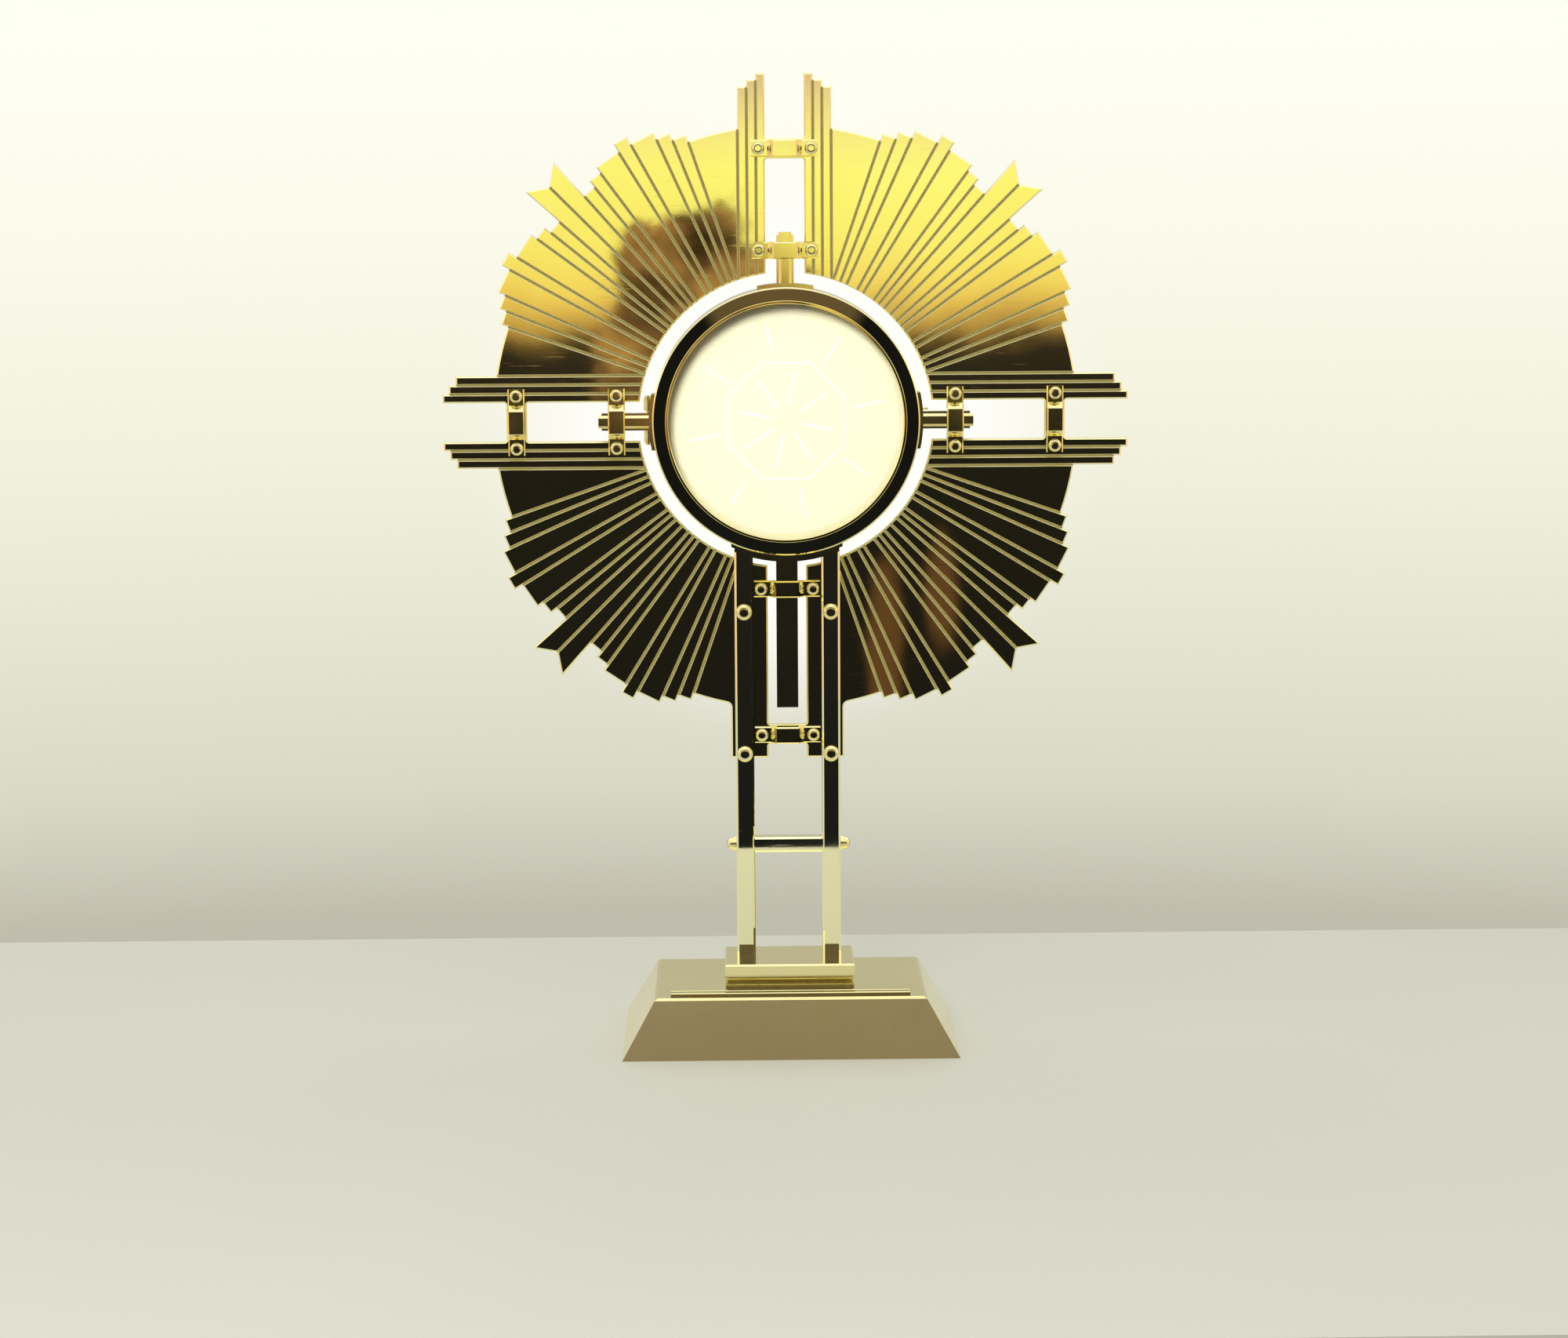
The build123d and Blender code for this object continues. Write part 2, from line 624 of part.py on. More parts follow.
def lugs(label, heights, front, rear, bore):
    """Pair of hinge lugs, above and below the capsule's centre, cut to its round side."""
    near, far = heights
    with BuildPart() as pair:
        for side in (-1, 1):
            with BuildSketch(Plane.XY.offset(center_z + side * near)):
                with Locations((hinge_x, hinge_y)):
                    Circle(barrel_radius)
                Polygon((hinge_x, front), (lug_inner_x, front), (lug_inner_x, rear),
                        (hinge_x, rear), align=None)
            extrude(amount=side * (far - near))
        with BuildSketch(front_plane(door_rear)):
            Circle(capsule_radius)
        extrude(amount=door_rear, mode=Mode.SUBTRACT)
        with BuildSketch(Plane.XY.offset(center_z - far)):
            with Locations((hinge_x, hinge_y)):
                Circle(bore)
        extrude(amount=2 * far, mode=Mode.SUBTRACT)
    save(pair, label)


lugs("hinge_lugs", fixed_barrel, lug_front, body_rear - play / 2, hinge_pin_radius)
lugs("door_hinge_lugs", moving_barrel, door_front, door_rear, hinge_pin_radius + fit)

with BuildPart() as hinge_pin:
    with BuildSketch(Plane.XY.offset(center_z - pin_head_end)):
        with Locations((hinge_x, hinge_y)):
            Circle(hinge_pin_radius)
    extrude(amount=2 * pin_head_end)
    for side in (-1, 1):
        with BuildSketch(Plane.XY.offset(center_z + side * pin_head_start)):
            with Locations((hinge_x, hinge_y)):
                Circle(pin_head_radius)
        extrude(amount=side * (pin_head_end - pin_head_start))
save(hinge_pin, "hinge_pin")

latch_outer_x = latch_x + latch_thickness
with BuildPart() as latch_pivot:
    with BuildSketch(Plane(origin=(pivot_inner, latch_y, latch_z), z_dir=(1, 0, 0))):
        Circle(latch_pivot_radius)
    extrude(amount=latch_outer_x + play - pivot_inner)
    with BuildSketch(Plane(origin=(latch_outer_x + play, latch_y, latch_z), z_dir=(1, 0, 0))):
        Circle(latch_head)
    extrude(amount=latch_head / 2)
    fillet(latch_pivot.faces().sort_by(Axis.X)[-1].edges(), latch_head / 4)
save(latch_pivot, "latch_pivot")

with BuildPart() as latch_hook:
    hanging = Plane(origin=(latch_x, latch_y, latch_z), x_dir=(0, 0, -1), z_dir=(1, 0, 0))
    with BuildSketch(hanging) as hook:
        Circle(latch_eye)
        Polygon((0, latch_back), (latch_length, latch_back), (latch_length, latch_front),
                (0, latch_front), align=None)
        fillet(hook.vertices().sort_by(Axis.X)[-2:], latch_tip)
        Polygon((notch_near, notch_depth), (notch_far, notch_depth),
                (notch_far, latch_front + overrun), (notch_near, latch_front + overrun),
                align=None, mode=Mode.SUBTRACT)
        Circle(latch_pivot_radius + fit, mode=Mode.SUBTRACT)
    extrude(amount=latch_thickness)
save(latch_hook, "latch_hook")

# ---- rear door -----------------------------------------------------------------------------
lip_front = door_rear - door_lip
door_glass_front = lip_front - glass_thickness
keeper_y = latch_y + latch_arm

with BuildPart() as door_ring:
    with BuildSketch(section_plane()):
        Polygon((door_glass_radius, door_front), (capsule_radius, door_front),
                (capsule_radius, door_rear - door_bevel),
                (capsule_radius - door_bevel, door_rear),
                (door_opening + door_bevel, door_rear),
                (door_opening, door_rear - door_bevel), (door_opening, lip_front),
                (door_glass_radius, lip_front), align=None)
    revolve(axis=capsule_axis)
    with BuildSketch(Plane(origin=(pivot_inner, keeper_y, latch_z), z_dir=(1, 0, 0))):
        Circle(keeper_radius)
    extrude(amount=capsule_radius - pivot_inner, mode=Mode.SUBTRACT)
save(door_ring, "door_ring")
disc("door_glass", door_glass_radius, door_glass_front, glass_thickness)
turned_ring("door_glass_ring", door_ring_bore, door_glass_radius, door_front, door_glass_front)

with BuildPart() as door_stud:
    with BuildSketch(Plane(origin=(pivot_inner, keeper_y, latch_z), z_dir=(1, 0, 0))):
        Circle(keeper_radius)
    extrude(amount=keeper_reach - pivot_inner)
    with Locations((keeper_reach, keeper_y, latch_z)):
        Sphere(keeper_ball)
save(door_stud, "door_stud")

# ---- lunette with the host -----------------------------------------------------------------
luna_rear = luna_front + luna_depth
lip_rear = luna_front + luna_lip
host_front = lip_rear + luna_glass_thickness
host_rear = host_front + host_thickness
clip_front = host_rear + luna_glass_thickness

turned("luna_case", [
    (luna_window, luna_front), (luna_radius, luna_front), (luna_radius, luna_rear),
    (luna_bore, luna_rear), (luna_bore, lip_rear), (luna_window, lip_rear),
])
disc("luna_glass_front", luna_bore, lip_rear, luna_glass_thickness)
disc("host", host_radius, host_front, host_thickness)
disc("luna_glass_rear", luna_bore, host_rear, luna_glass_thickness)
turned_ring("luna_clip_ring", luna_clip_bore, luna_bore, clip_front, clip_front + clip_depth)
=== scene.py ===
import json
import math

import bmesh
import bpy
from mathutils import Matrix, Vector


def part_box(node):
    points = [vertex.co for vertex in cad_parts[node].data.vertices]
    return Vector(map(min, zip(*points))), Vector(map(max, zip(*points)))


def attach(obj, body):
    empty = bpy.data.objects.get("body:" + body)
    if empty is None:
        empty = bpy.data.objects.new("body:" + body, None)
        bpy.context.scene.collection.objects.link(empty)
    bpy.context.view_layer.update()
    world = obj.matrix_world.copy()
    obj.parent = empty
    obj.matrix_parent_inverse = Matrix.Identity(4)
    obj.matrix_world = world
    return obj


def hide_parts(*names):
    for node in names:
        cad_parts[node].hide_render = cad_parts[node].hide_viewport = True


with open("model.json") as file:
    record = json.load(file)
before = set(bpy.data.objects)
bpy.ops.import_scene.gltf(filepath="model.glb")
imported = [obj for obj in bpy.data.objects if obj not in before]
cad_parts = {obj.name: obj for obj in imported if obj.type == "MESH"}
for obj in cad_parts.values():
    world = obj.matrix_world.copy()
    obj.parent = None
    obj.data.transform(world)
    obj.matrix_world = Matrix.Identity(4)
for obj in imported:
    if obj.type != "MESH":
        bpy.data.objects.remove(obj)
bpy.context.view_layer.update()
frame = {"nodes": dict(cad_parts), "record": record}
nodes = frame["nodes"]
MM = 0.001

# ---- camera: position, aim and roll of the photograph's viewpoint ----------------------------
CAMERA_AT = Vector((-0.0313, -2.0289, 0.5576))
CAMERA_AIM = Vector((-0.0023, 0.0, 0.2336))
CAMERA_ROLL = -0.006
LENS, SENSOR = 75.6, 36.0

camera_data = bpy.data.cameras.new("camera")
camera_data.lens = LENS
camera_data.sensor_width = SENSOR
camera = bpy.data.objects.new("camera", camera_data)
bpy.context.scene.collection.objects.link(camera)
aim = (CAMERA_AIM - CAMERA_AT).to_track_quat("-Z", "Y").to_matrix().to_4x4()
camera.matrix_world = Matrix.Translation(CAMERA_AT) @ aim @ Matrix.Rotation(CAMERA_ROLL, 4, "Z")
bpy.context.scene.camera = camera
bpy.context.scene.view_settings.view_transform = "Standard"


# ---- node helpers ----------------------------------------------------------------------------
class Tree:
    """Thin wrapper that makes and links shader nodes."""

    def __init__(self, tree):
        self.tree = tree
        tree.nodes.clear()

    def put(self, target, value):
        if isinstance(value, bpy.types.NodeSocket):
            self.tree.links.new(value, target)
        elif value is not None:
            target.default_value = value

    def node(self, kind, inputs=None, **settings):
        made = self.tree.nodes.new(kind)
        for name, value in settings.items():
            setattr(made, name, value)
        for name, value in (inputs or {}).items():
            self.put(made.inputs[name], value)
        return made

    def math(self, operation, a, b=None, clamp=False):
        made = self.node("ShaderNodeMath", operation=operation, use_clamp=clamp)
        self.put(made.inputs[0], a)
        self.put(made.inputs[1], b)
        return made.outputs[0]

    def remap(self, value, low, high, to_low=0.0, to_high=1.0, smooth=False):
        made = self.node("ShaderNodeMapRange", {
            "Value": value, "From Min": low, "From Max": high, "To Min": to_low, "To Max": to_high})
        made.interpolation_type = "SMOOTHSTEP" if smooth else "LINEAR"
        return made.outputs[0]

    def mix(self, factor, a, b):
        made = self.node("ShaderNodeMix", data_type="RGBA")
        self.put(made.inputs[0], factor)
        self.put(made.inputs[6], a)
        self.put(made.inputs[7], b)
        return made.outputs[2]

    def ramp(self, value, stops):
        made = self.node("ShaderNodeValToRGB", {"Fac": value})
        elements = made.color_ramp.elements
        while len(elements) < len(stops):
            elements.new(1.0)
        for element, (position, colour) in zip(elements, stops):
            element.position = position
            element.color = (*colour, 1.0)
        return made.outputs[0]

    def noise(self, vector, scale, detail=2.0, roughness=0.5):
        return self.node("ShaderNodeTexNoise", {
            "Vector": vector, "Scale": scale, "Detail": detail, "Roughness": roughness}).outputs[0]


# ---- studio: a world of soft panels ------------------------------------------------------------
DARK = (0.009, 0.0095, 0.012)
NEAR_SPAN = 14.0

# (elevation in degrees, colour); the front is the half that the glory faces
FRONT_NEAR = [
    (-14.0, DARK), (-4.6, (0.016, 0.014, 0.012)), (-3.6, (0.03, 0.025, 0.02)),
    (-3.4, (0.12, 0.08, 0.035)), (-3.15, (0.52, 0.34, 0.11)), (-2.8, (0.80, 0.56, 0.17)),
    (-2.4, (0.96, 0.78, 0.23)), (-1.8, (1.02, 0.94, 0.29)), (-1.0, (1.04, 1.03, 0.33)),
    (-0.4, (1.05, 1.06, 0.37)), (0.0, (1.02, 0.99, 0.42)), (0.35, (0.96, 0.86, 0.45)),
    (0.96, (0.80, 0.65, 0.50)), (1.6, (0.62, 0.50, 0.40)), (4.0, (0.10, 0.08, 0.06)),
    (6.0, (0.12, 0.085, 0.05)), (9.0, (0.14, 0.095, 0.055)), (14.0, (0.10, 0.08, 0.06)),
]
FRONT_WIDE = [
    (-90.0, (0.40, 0.38, 0.33)), (-34.0, (0.36, 0.34, 0.29)), (-24.0, DARK),
    (-14.0, DARK), (14.0, (0.10, 0.08, 0.06)), (21.0, (0.24, 0.20, 0.17)),
    (27.0, (0.29, 0.24, 0.19)), (36.0, (0.90, 0.87, 0.78)), (60.0, (1.15, 1.12, 1.03)),
    (90.0, (1.15, 1.12, 1.03)),
]
QUARTER_WIDE = [
    (-90.0, (0.40, 0.38, 0.33)), (-20.0, (0.42, 0.39, 0.33)), (-9.0, (0.50, 0.45, 0.37)),
    (-4.0, (0.70, 0.62, 0.48)), (5.0, (0.80, 0.72, 0.56)), (16.0, (0.45, 0.39, 0.30)),
    (30.0, (0.8, 0.77, 0.68)), (60.0, (1.1, 1.07, 0.98)), (90.0, (1.15, 1.12, 1.03)),
]
SIDE_WIDE = [
    (-90.0, (0.45, 0.43, 0.38)), (-14.0, (0.65, 0.57, 0.42)), (-5.0, (0.95, 0.66, 0.36)),
    (4.0, (1.0, 0.70, 0.38)), (8.0, (1.10, 0.96, 0.62)), (18.0, (1.25, 1.16, 0.88)),
    (28.0, (0.90, 0.84, 0.68)), (50.0, (0.95, 0.91, 0.80)), (90.0, (1.15, 1.12, 1.03)),
]
BACK_WIDE = [
    (-90.0, (0.55, 0.54, 0.48)), (-8.0, (0.62, 0.61, 0.54)), (12.0, (0.50, 0.485, 0.42)),
    (18.0, (0.52, 0.505, 0.43)), (30.0, (1.4, 1.37, 1.22)), (60.0, (1.3, 1.28, 1.18)),
    (90.0, (1.2, 1.18, 1.1)),
]
# (elevation, colour) of the wall that the camera sees behind the object
SEEN_WALL = [
    (-16.0, (0.50, 0.48, 0.40)), (-13.2, (0.53, 0.51, 0.42)), (-11.0, (0.70, 0.69, 0.57)),
    (-5.6, (0.88, 0.87, 0.72)), (-2.0, (0.96, 0.95, 0.82)), (2.0, (1.0, 1.0, 0.9)),
]
WALL_SPAN = 16.0

# soft shapes on the sky: azimuth, elevation, half width, half height in degrees, and softness
PERSON = (-0.5, -3.3, 1.9, 2.2, 0.06)
PERSON_TONES = [(0.36, (0.03, 0.018, 0.01)), (0.46, (0.14, 0.08, 0.035)),
                (0.56, (0.34, 0.19, 0.075)), (0.68, (0.60, 0.36, 0.12))]
STREAKS = [(2.6, -8.8, 0.28, 1.5, 0.4), (3.6, -7.7, 0.3, 0.9, 0.4)]
STREAK_SHARE, STREAK_COLOUR = 0.75, (0.16, 0.08, 0.035, 1)
WALL_GLOW, GLOW_COLOUR = (0.9, -4.8, 4.3, 4.3, 0.35), (1.0, 1.0, 0.95, 1)

# limits in degrees between which one part of the sky fades into the next
WINDOW_AZIMUTH, WINDOW_EDGE, QUARTER_EDGE = 0.8, (6.8, 8.6), (15.0, 19.0)
BAND_START, BAND_END, BAND_HEIGHT = (16.0, 23.0), (42.0, 30.0), (26.0, 14.0)
BESIDE_WINDOW, BAND_COLOUR = (0.008, 0.008, 0.009, 1), (0.14, 0.11, 0.07, 1)

# the same for frontness, which is 1 straight ahead of the glory and -1 straight behind it
FRONT_EDGE, REAR_EDGE = (0.25, 0.75), (-0.05, -0.6)
POLE_GUARD = 0.0001


def make_world():
    world = bpy.data.worlds.new("studio")
    world.use_nodes = True
    bpy.context.scene.world = world
    t = Tree(world.node_tree)
    direction = t.node("ShaderNodeTexCoord").outputs["Generated"]
    x, y, z = t.node("ShaderNodeSeparateXYZ", {"Vector": direction}).outputs
    elevation = t.math("MULTIPLY", t.math("ARCSINE", z), 180 / math.pi)
    level = t.math("SQRT", t.math("SUBTRACT", 1 + POLE_GUARD, t.math("MULTIPLY", z, z)))
    frontness = t.math("DIVIDE", t.math("MULTIPLY", y, -1.0), level)
    azimuth = t.math("MULTIPLY", t.math("ARCSINE", t.math("DIVIDE", x, level)), 180 / math.pi)

    def wide(stops):
        return t.ramp(t.remap(elevation, -90, 90), [((e + 90) / 180, c) for e, c in stops])

    def near(stops, span, height):
        places = [((e + span) / (2 * span), c) for e, c in stops]
        return t.ramp(t.remap(height, -span, span), places)

    def blob(az, el, half_az, half_el, soft, ragged=1.2):
        """1 inside a soft ellipse on the sky, 0 outside; ragged sets how uneven its edge is."""
        u = t.math("DIVIDE", t.math("SUBTRACT", azimuth, az), half_az)
        v = t.math("DIVIDE", t.math("SUBTRACT", elevation, el), half_el)
        r = t.math("SQRT", t.math("ADD", t.math("MULTIPLY", u, u), t.math("MULTIPLY", v, v)))
        wobble = t.math("MULTIPLY", t.math("SUBTRACT", t.noise(direction, 45.0, 5.0, 0.6), 0.5), ragged)
        return t.remap(t.math("ADD", r, wobble), 1.0 + soft, 1.0 - soft, smooth=True)

    inside = t.math("LESS_THAN", t.math("ABSOLUTE", elevation), NEAR_SPAN - 0.1)
    ripple = t.math("MULTIPLY", t.math("SUBTRACT", t.noise(direction, 26.0, 4.0), 0.5), 1.3)
    rippled = t.math("ADD", elevation, ripple)
    front = t.mix(inside, wide(FRONT_WIDE), near(FRONT_NEAR, NEAR_SPAN, rippled))
    person = t.ramp(t.noise(direction, 60.0, 3.0), PERSON_TONES)
    front = t.mix(blob(*PERSON), front, person)
    for streak in STREAKS:
        front = t.mix(t.math("MULTIPLY", blob(*streak), STREAK_SHARE), front, STREAK_COLOUR)
    off_axis = t.math("ABSOLUTE", t.math("SUBTRACT", azimuth, WINDOW_AZIMUTH))
    shut = t.math("MULTIPLY", inside, t.remap(off_axis, *WINDOW_EDGE, smooth=True))
    front = t.mix(shut, front, BESIDE_WINDOW)
    front = t.mix(t.remap(off_axis, *QUARTER_EDGE, smooth=True), front, wide(QUARTER_WIDE))
    side = wide(SIDE_WIDE)
    rear = wide(BACK_WIDE)
    swing = t.math("ABSOLUTE", azimuth)
    band = t.math("MULTIPLY", t.remap(swing, *BAND_START, smooth=True),
                  t.remap(swing, *BAND_END, smooth=True))
    level_band = t.remap(t.math("ABSOLUTE", rippled), *BAND_HEIGHT, smooth=True)
    rear = t.mix(t.math("MULTIPLY", band, level_band), rear, BAND_COLOUR)
    around = t.mix(t.remap(frontness, *REAR_EDGE, smooth=True), side, rear)
    around = t.mix(t.remap(frontness, *FRONT_EDGE, smooth=True), around, front)
    seen = near(SEEN_WALL, WALL_SPAN, elevation)
    seen = t.mix(blob(*WALL_GLOW, ragged=0.0), seen, GLOW_COLOUR)
    is_camera = t.node("ShaderNodeLightPath").outputs["Is Camera Ray"]
    shown = t.mix(is_camera, around, seen)
    background = t.node("ShaderNodeBackground", {"Color": shown, "Strength": 1.0})
    output = t.node("ShaderNodeOutputWorld")
    t.tree.links.new(background.outputs[0], output.inputs["Surface"])


make_world()

KEY_AT, KEY_TARGET = Vector((-0.45, -1.60, 1.20)), Vector((0.0, 0.0, 0.39))
KEY_DIAMETER, KEY_WATTS, KEY_COLOUR = 0.7, 13.0, (1.0, 0.98, 0.93)


def make_key():
    """Soft light on the matte host; mirrors and the camera don't show it."""
    data = bpy.data.lights.new("key", "AREA")
    data.shape = "DISK"
    data.size = KEY_DIAMETER
    data.energy = KEY_WATTS
    data.color = KEY_COLOUR
    key = bpy.data.objects.new("key", data)
    aimed = (KEY_TARGET - KEY_AT).to_track_quat("-Z", "Y").to_matrix().to_4x4()
    key.matrix_world = Matrix.Translation(KEY_AT) @ aimed
    key.visible_glossy = False
    key.visible_camera = False
    bpy.context.scene.collection.objects.link(key)


make_key()


# ---- host's pressed pattern, millimetres -----------------------------------------------------
HOST_RAYS, HOST_SIDES, HOST_FRAME, HOST_RIM, HOST_EMBOSS = 16, 8, 36.0, 69.5, 0.12
HOST_GAP, HOST_EDGE = 0.14, 0.25
HOST_RINGS, HOST_SPOKES = 150, 480
INNER_RAY, OUTER_RAY, RAY_TAPER = (8.0, 32.0), (40.0, 64.0), 3.0
RAY_HALF, FRAME_HALF, RIM_HALF, RIM_SHARE = 1.1, 0.9, 0.8, 0.8
# radii in millimetres over which painted shade darkens the wafer towards its rim
RIM_SHADE_START, RIM_SHADE_END = 66.0, 76.0
HOST_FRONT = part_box("host")[0].y + (HOST_GAP + HOST_EMBOSS) * MM


# ---- materials -----------------------------------------------------------------------------
def start_material(name):
    material = bpy.data.materials.new(name)
    material.use_nodes = True
    t = Tree(material.node_tree)
    place = t.node("ShaderNodeTexCoord").outputs["Object"]
    return material, t, place


def finish_material(material, t, inputs):
    shader = t.node("ShaderNodeBsdfPrincipled", inputs)
    output = t.node("ShaderNodeOutputMaterial")
    t.tree.links.new(shader.outputs[0], output.inputs["Surface"])
    return material


def stretched(t, place, scale, turn=(0, 0, 0)):
    return t.node("ShaderNodeMapping", {"Vector": place, "Scale": scale, "Rotation": turn}).outputs[0]


def hairlines(t, place, turn, density=1.0):
    """Sparse fine scratches along one direction."""
    lines = t.noise(stretched(t, place, (26, 26, 2600 * density), turn), 1.0, 1.0, 0.4)
    breaks = t.noise(stretched(t, place, (50, 50, 50), turn), 1.0, 1.0)
    fine = t.remap(lines, 0.70, 0.80)
    return t.math("MULTIPLY", fine, t.remap(breaks, 0.52, 0.70))


# paler gold for the faces at 45 degrees to the front: a painted highlight, not the metal's own colour
CUT_PAINTED_HIGHLIGHT = (1.0, 0.96, 0.60, 1)


def gold(name, rough=(0.035, 0.10), scratches=0.08, waves=0.0, speckle=0.0, cut=0.0,
         light=(0.95, 0.89, 0.51), deep=(0.93, 0.84, 0.44)):
    """Polished gold plate: slight colour drift, uneven polish, hairlines and a wavy sheet.

    cut is the roughness added to faces at 45 degrees to the front, the satin engraved cuts. Where cut
    is set, these faces are also painted a paler gold, a painted highlight for the bright room they
    mirror.
    """
    material, t, place = start_material(name)
    drift = t.noise(place, 9.0, 3.0)
    colour = t.mix(t.remap(drift, 0.35, 0.7), (*light, 1), (*deep, 1))
    cloudy = t.noise(place, 22.0, 4.0, 0.6)
    lines = t.math("MAXIMUM", hairlines(t, place, (0.3, 0.5, 0.2)),
                   hairlines(t, place, (1.1, -0.4, 0.9), 0.8))
    dust = t.remap(t.noise(place, 900.0, 1.0), 0.66, 0.8)
    roughness = t.remap(cloudy, 0.3, 0.75, rough[0], rough[1])
    roughness = t.math("ADD", roughness, t.math("MULTIPLY", lines, scratches))
    roughness = t.math("ADD", roughness, t.math("MULTIPLY", dust, 0.03 + speckle), clamp=True)
    if cut:
        normal = t.node("ShaderNodeNewGeometry").outputs["True Normal"]
        facing = t.node("ShaderNodeSeparateXYZ", {"Vector": normal}).outputs["Y"]
        slant = t.math("ABSOLUTE", t.math("ADD", facing, math.sqrt(0.5)))
        satin_cut_and_painted_highlight = t.remap(slant, 0.12, 0.06)
        roughness = t.math("ADD", roughness, t.math("MULTIPLY", satin_cut_and_painted_highlight, cut))
        # painted highlight: faces turned 45 degrees to the front are painted a paler gold
        colour = t.mix(satin_cut_and_painted_highlight, colour, CUT_PAINTED_HIGHLIGHT)
    sheet = t.node("ShaderNodeBump", {
        "Height": t.noise(place, 14.0, 1.0), "Distance": 0.001, "Strength": waves})
    pits = t.node("ShaderNodeBump", {
        "Height": t.noise(place, 1300.0, 2.0), "Distance": 0.00002, "Strength": 0.03 + speckle,
        "Normal": sheet.outputs[0]})
    grooves = t.node("ShaderNodeBump", {
        "Height": lines, "Distance": 0.00002, "Strength": scratches, "Normal": pits.outputs[0]},
        invert=True)
    return finish_material(material, t, {
        "Base Color": colour, "Metallic": 1.0, "Roughness": roughness,
        "Normal": grooves.outputs[0]})


def steel(name):
    material, t, place = start_material(name)
    turned = t.noise(stretched(t, place, (80, 80, 2400)), 1.0, 2.0)
    return finish_material(material, t, {
        "Base Color": t.mix(turned, (0.45, 0.45, 0.46, 1), (0.64, 0.64, 0.65, 1)),
        "Metallic": 1.0, "Roughness": t.remap(turned, 0.3, 0.7, 0.22, 0.4),
        "Normal": t.node("ShaderNodeBump", {
            "Height": turned, "Distance": 0.00002, "Strength": 0.4}).outputs[0]})


def felt(name):
    material, t, place = start_material(name)
    fibres = t.noise(place, 1600.0, 5.0, 0.75)
    clumps = t.noise(place, 140.0, 3.0)
    tone = t.mix(clumps, (0.03, 0.11, 0.07, 1), (0.06, 0.19, 0.12, 1))
    return finish_material(material, t, {
        "Base Color": t.mix(fibres, (0.02, 0.08, 0.05, 1), tone), "Roughness": 0.95,
        "Sheen Weight": 0.4, "Sheen Roughness": 0.5,
        "Normal": t.node("ShaderNodeBump", {
            "Height": fibres, "Distance": 0.0004, "Strength": 0.9}).outputs[0]})


def seal(name):
    material, t, place = start_material(name)
    grain = t.noise(place, 1100.0, 3.0)
    return finish_material(material, t, {
        "Base Color": t.mix(grain, (0.012, 0.012, 0.012, 1), (0.035, 0.035, 0.035, 1)),
        "Roughness": t.remap(grain, 0.3, 0.7, 0.5, 0.75),
        "Normal": t.node("ShaderNodeBump", {
            "Height": grain, "Distance": 0.00005, "Strength": 0.4}).outputs[0]})


def clear_glass(name):
    """Polished flat glass with the faintest smears."""
    material, t, place = start_material(name)
    smear = t.noise(stretched(t, place, (18, 18, 40), (0.2, 0.6, 0.1)), 1.0, 3.0)
    return finish_material(material, t, {
        "Base Color": (0.985, 0.992, 0.985, 1), "Transmission Weight": 1.0, "IOR": 1.45,
        "Roughness": t.remap(smear, 0.55, 0.75, 0.0, 0.03)})


def bread(name):
    """Unleavened wafer: pale and matte, with mottling, a painted highlight on the raised relief and
    painted shade darkening it towards the rim.
    """
    material, t, place = start_material(name)
    mottle = t.noise(place, 70.0, 4.0, 0.6)
    crumb = t.noise(place, 1500.0, 3.0, 0.6)
    low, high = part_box("host")
    middle = ((low.x + high.x) / 2, 0.0, (low.z + high.z) / 2)
    spot = t.node("ShaderNodeVectorMath", {0: place, 1: middle}, operation="SUBTRACT").outputs[0]
    flat = t.node("ShaderNodeVectorMath", {0: spot, 1: (1, 0, 1)}, operation="MULTIPLY").outputs[0]
    away = t.node("ShaderNodeVectorMath", {0: flat}, operation="LENGTH").outputs["Value"]
    # painted shade: the wafer darkens towards its rim, standing in for the shade the bezel casts into
    # the recess
    rim = t.remap(away, RIM_SHADE_START * MM, RIM_SHADE_END * MM, smooth=True)
    depth = t.node("ShaderNodeSeparateXYZ", {"Vector": place}).outputs["Y"]
    # painted highlight: the raised pattern is painted whiter, standing in for the light its ridges
    # catch
    raised_painted_highlight = t.remap(depth, HOST_FRONT - 0.2 * HOST_EMBOSS * MM, HOST_FRONT - HOST_EMBOSS * MM)
    crust = t.mix(mottle, (0.94, 0.915, 0.70, 1), (0.92, 0.89, 0.64, 1))
    return finish_material(material, t, {
        "Base Color": t.mix(rim, t.mix(raised_painted_highlight, crust, (0.99, 0.985, 0.93, 1)),
                            (0.84, 0.77, 0.46, 1)),
        "Roughness": 0.8, "Specular IOR Level": 0.25,
        "Normal": t.node("ShaderNodeBump", {
            "Height": crumb, "Distance": 0.0001, "Strength": 0.25}).outputs[0]})


plate_gold = gold("plate_gold", rough=(0.008, 0.028), waves=0.04, cut=0.3)
post_gold = gold("post_gold", rough=(0.01, 0.04), waves=0.02,
                 light=(1.0, 0.99, 0.68), deep=(1.0, 0.97, 0.62))
ring_gold = gold("ring_gold", rough=(0.01, 0.03))
base_gold = gold("base_gold", rough=(0.09, 0.14), scratches=0.03, waves=0.02, speckle=0.09)
small_gold = gold("small_gold", rough=(0.04, 0.09), scratches=0.12)
bare_brass = gold("bare_brass", rough=(0.25, 0.4), scratches=0.5, speckle=0.3,
                  light=(0.70, 0.55, 0.28), deep=(0.6, 0.43, 0.2))
hardware_steel = steel("hardware_steel")
green_felt = felt("green_felt")
black_seal = seal("black_seal")
glass = clear_glass("clear_glass")
host_bread = bread("host_bread")

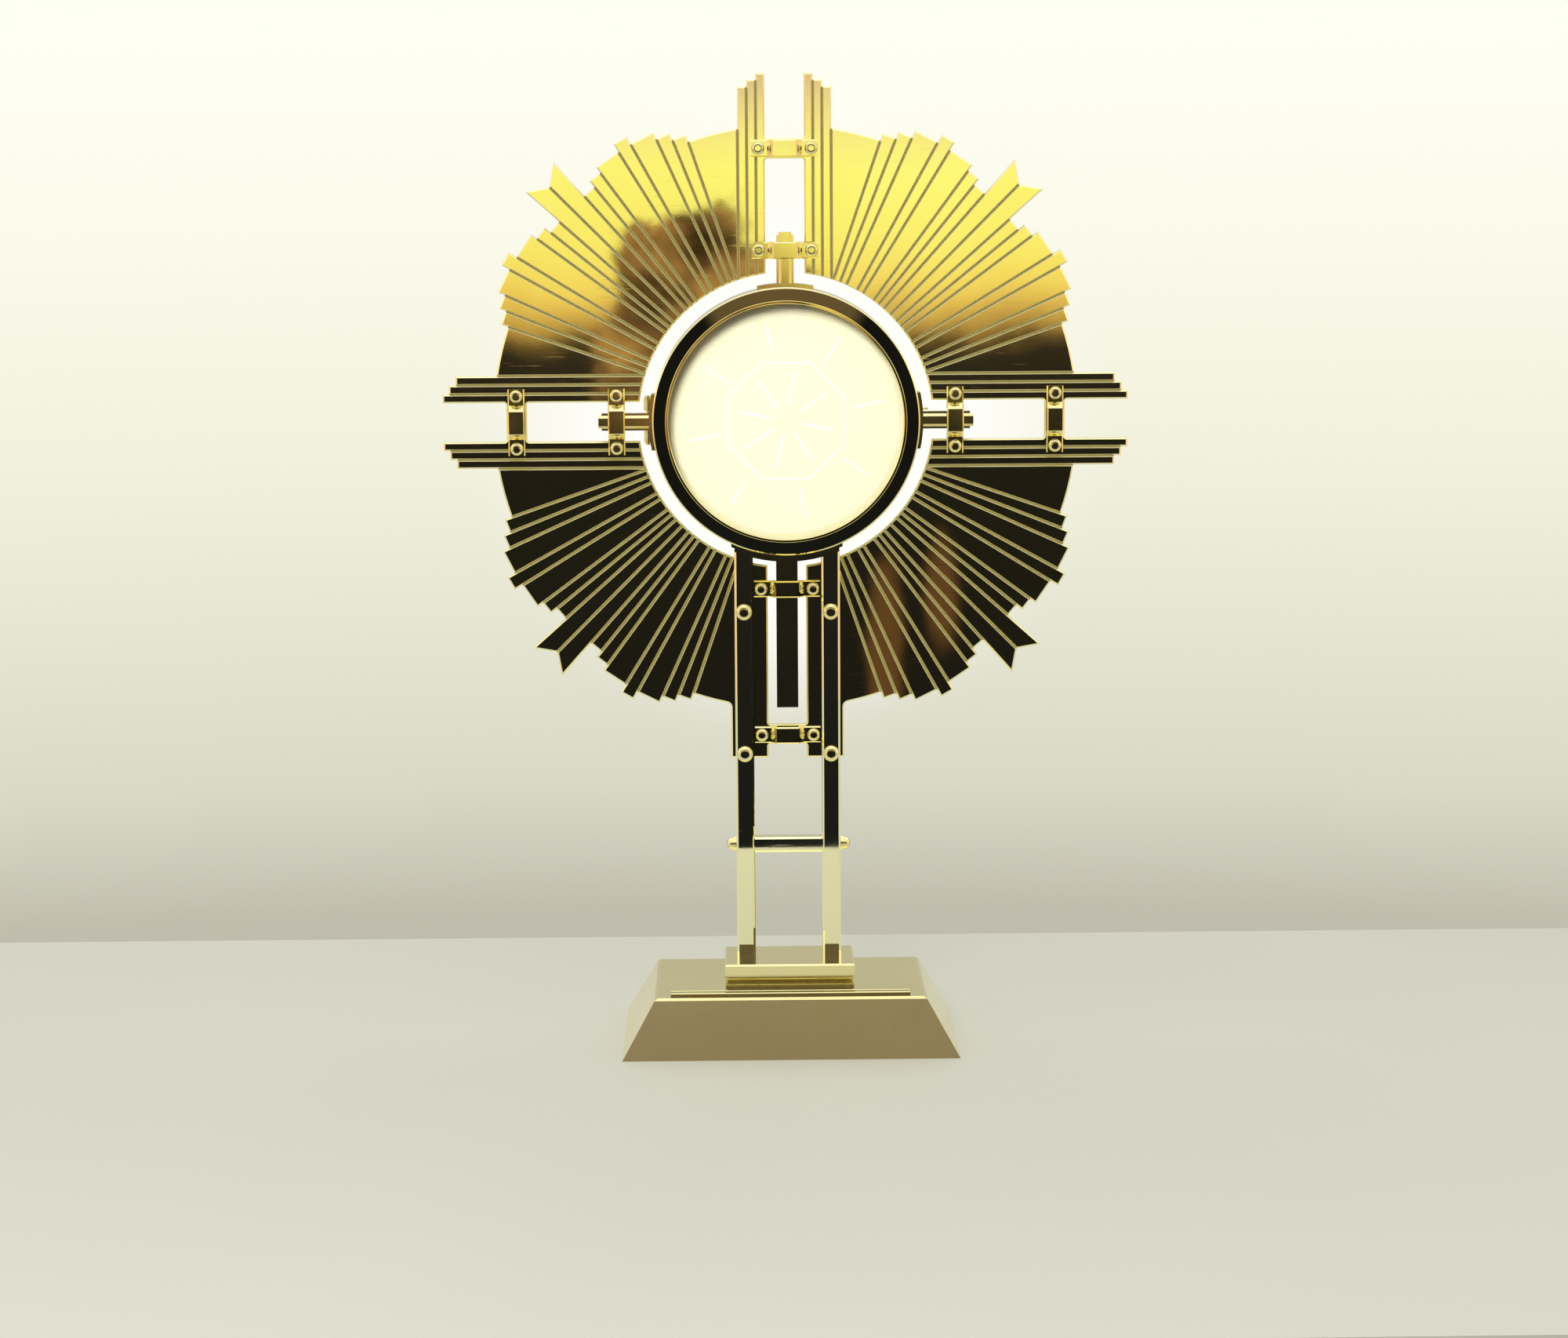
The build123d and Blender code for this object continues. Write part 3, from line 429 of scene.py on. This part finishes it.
BY_SLOT = {
    "clear_glass": glass, "black_seal": black_seal, "green_felt": green_felt,
    "steel_hardware": hardware_steel, "bare_brass": bare_brass, "host_bread": host_bread,
}
BY_START = {
    "glory_plate": plate_gold, "post_screws": small_gold, "post_nuts": small_gold,
    "post_left": post_gold, "post_right": post_gold, "crossbar": post_gold,
    "plinth": base_gold, "base_shell": base_gold, "trim_bars": small_gold,
    "front_bezel": ring_gold, "capsule_body": ring_gold, "door_ring": ring_gold,
    "luna": ring_gold, "glass_retainer": ring_gold, "door_glass_ring": ring_gold,
}


def pick_gold(name):
    fits = [key for key in BY_START if name.startswith(key)]
    return BY_START[max(fits, key=len)] if fits else small_gold


slot_of = {row["node"]: row["material_slot"] for row in frame["record"]["subparts"]}
for name, thing in nodes.items():
    material = BY_SLOT.get(slot_of[name]) or pick_gold(name)
    for place in thing.material_slots:
        place.material = material


# ---- host: an embossed wafer in place of the plain disc -----------------------------------------
def emboss(radius, angle):
    """Height in millimetres of the pressed pattern: plain rays and a many-sided frame."""
    def ridge(offset, half):
        return max(0.0, 1.0 - (offset / half) ** 2) if abs(offset) < half else 0.0

    height = 0.0
    for k in range(HOST_RAYS):
        turn = (angle - (k + 0.5) * 2 * math.pi / HOST_RAYS + math.pi) % (2 * math.pi) - math.pi
        inner, outer = INNER_RAY if k % 2 else OUTER_RAY
        if abs(turn) < math.pi / 2 and inner < radius < outer:
            ends = min(1.0, (radius - inner) / RAY_TAPER, (outer - radius) / RAY_TAPER)
            height = max(height, ends * ridge(radius * math.sin(turn), RAY_HALF))
    sector = 2 * math.pi / HOST_SIDES
    folded = (angle + sector / 2) % sector - sector / 2
    height = max(height, ridge(radius * math.cos(folded) - HOST_FRAME, FRAME_HALF))
    return max(height, RIM_SHARE * ridge(radius - HOST_RIM, RIM_HALF)) * HOST_EMBOSS


def make_host():
    low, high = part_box("host")
    centre = (low + high) / 2
    rim = (high.x - low.x) / 2 / MM
    front, rear = HOST_FRONT, high.y - HOST_GAP * MM
    bm = bmesh.new()

    def ring_of(radius, depth, relief):
        made = []
        for i in range(HOST_SPOKES):
            a = 2 * math.pi * i / HOST_SPOKES
            lift = emboss(radius, a) * MM if relief else 0.0
            x, z = radius * MM * math.cos(a), radius * MM * math.sin(a)
            made.append(bm.verts.new((centre.x + x, depth - lift, centre.z + z)))
        return made

    flat = rim - HOST_EDGE
    layers = [ring_of(flat * (k + 1) / HOST_RINGS, front, True) for k in range(HOST_RINGS)]
    layers.append(ring_of(rim, front + HOST_EDGE * MM, False))
    layers.append(ring_of(rim, rear - HOST_EDGE * MM, False))
    layers.append(ring_of(flat, rear, False))
    for near, far in zip(layers, layers[1:]):
        for i in range(HOST_SPOKES):
            j = (i + 1) % HOST_SPOKES
            bm.faces.new((near[i], near[j], far[j], far[i]))
    for layer, depth, flip in ((layers[0], front, False), (layers[-1], rear, True)):
        middle = bm.verts.new((centre.x, depth, centre.z))
        for i in range(HOST_SPOKES):
            pair = (layer[i], layer[(i + 1) % HOST_SPOKES])
            bm.faces.new((middle, *pair) if flip else (middle, *reversed(pair)))
    bmesh.ops.recalc_face_normals(bm, faces=bm.faces)
    mesh = bpy.data.meshes.new("embossed_host")
    bm.to_mesh(mesh)
    bm.free()
    mesh.shade_smooth()
    mesh.materials.append(host_bread)
    host = bpy.data.objects.new("embossed_host", mesh)
    bpy.context.scene.collection.objects.link(host)
    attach(host, "lunette")
    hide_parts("host")


make_host()
for name, thing in nodes.items():
    if slot_of[name] == "clear_glass":
        thing.visible_shadow = False


# ---- table -----------------------------------------------------------------------------------
TABLE_LOW, TABLE_HIGH, TABLE_BEVEL = Vector((-1.3, -0.552, -0.03)), Vector((1.3, 0.262, 0.0)), 0.003


def make_table():
    """Pale table top that ends just below the camera's view."""
    low, high = TABLE_LOW, TABLE_HIGH
    bm = bmesh.new()
    bmesh.ops.create_cube(bm, size=1.0)
    for vertex in bm.verts:
        vertex.co = Vector(low[i] + (vertex.co[i] + 0.5) * (high[i] - low[i]) for i in range(3))
    bmesh.ops.bevel(bm, geom=bm.edges[:], offset=TABLE_BEVEL, segments=3, affect="EDGES")
    mesh = bpy.data.meshes.new("table")
    bm.to_mesh(mesh)
    bm.free()
    table = bpy.data.objects.new("table", mesh)
    bpy.context.scene.collection.objects.link(table)
    material, t, place = start_material("table_cloth")
    tone = t.noise(place, 3.0, 2.0)
    finish_material(material, t, {
        "Base Color": t.mix(tone, (0.54, 0.55, 0.52, 1), (0.575, 0.585, 0.555, 1)),
        "Roughness": 0.7, "Specular IOR Level": 0.3})
    mesh.materials.append(material)


make_table()
